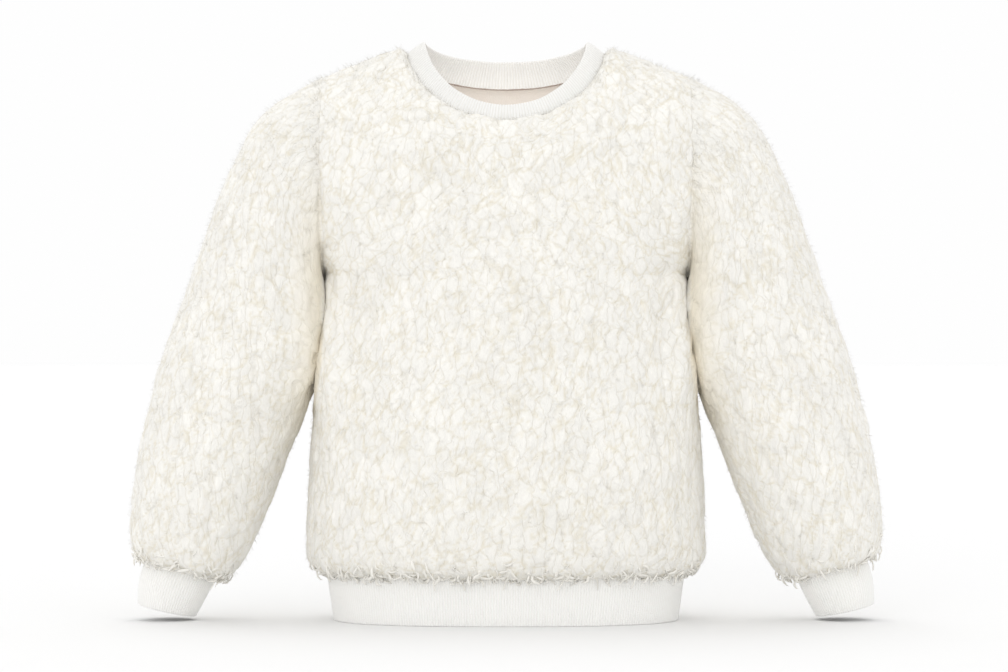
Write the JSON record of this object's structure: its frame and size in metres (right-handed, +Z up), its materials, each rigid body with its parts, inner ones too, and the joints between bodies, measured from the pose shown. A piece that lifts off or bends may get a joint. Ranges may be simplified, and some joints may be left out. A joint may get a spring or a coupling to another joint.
{
  "type": "curly fleece sweatshirt, filled out as worn",
  "caption": "Crew-neck pullover of thick curly pile fleece with full long sleeves and a ribbed collar, ribbed cuffs and a ribbed hem, filled out as if worn and hollow inside.",
  "frame": {"origin": "middle of the neck, level with the highest points of the collar at its sides", "axes": "+Z up, -Y out of the garment's front, +X towards the wearer's left, across the two sleeves"},
  "size_m": [0.7736, 0.258, 0.5944],
  "materials": {
    "fleece": "cream curly pile fleece, matt",
    "rib_knit": "off-white fine rib knit, matt"
  },
  "bodies": {
    "root": {"front": "fleece", "back": "fleece", "sleeve_left": "fleece", "sleeve_right": "fleece", "collar": "rib_knit", "cuff_left": "rib_knit", "cuff_right": "rib_knit", "hem": "rib_knit"}
  },
  "joints": []
}
